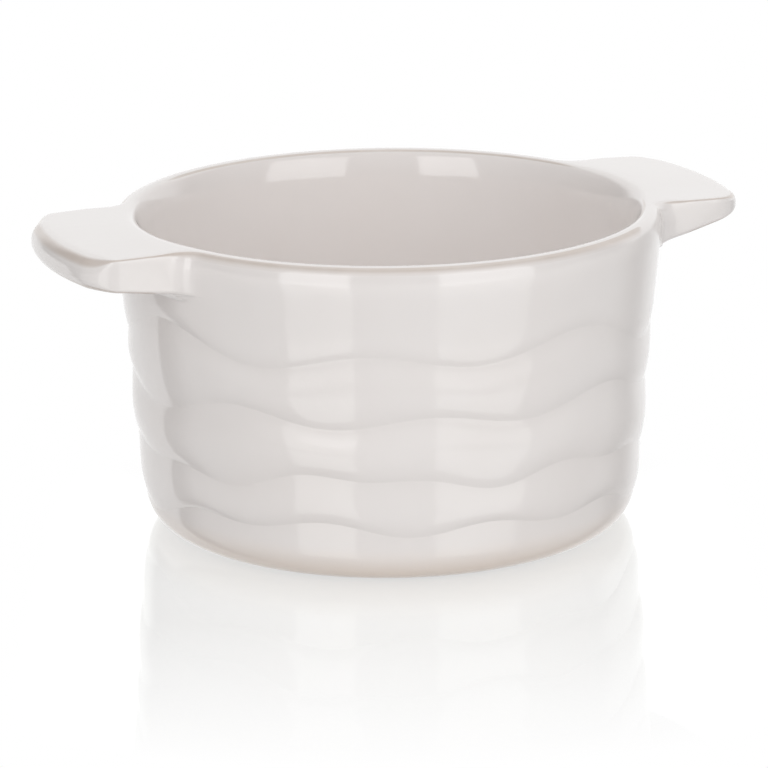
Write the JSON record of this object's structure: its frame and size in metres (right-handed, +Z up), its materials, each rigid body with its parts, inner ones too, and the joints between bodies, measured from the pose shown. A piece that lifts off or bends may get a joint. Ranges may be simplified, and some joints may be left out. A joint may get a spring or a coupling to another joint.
{
  "type": "round baking dish",
  "caption": "Small round glazed ceramic baking dish with a tapering wave-relief wall, a rounded lip and flat lug handles level with the rim, for oven baking and serving.",
  "frame": {"origin": "centre of the foot ring, on the surface that the dish stands on", "axes": "+X towards the right handle, +Z up through the open mouth"},
  "size_m": [0.1254, 0.096, 0.0564],
  "materials": {
    "body_glaze": "glossy warm white glaze, bare buff clay on the foot ring",
    "handle_glaze": "glossy warm white glaze"
  },
  "bodies": {
    "root": {"dish_body": "body_glaze", "left_handle": "handle_glaze", "right_handle": "handle_glaze"}
  },
  "joints": []
}
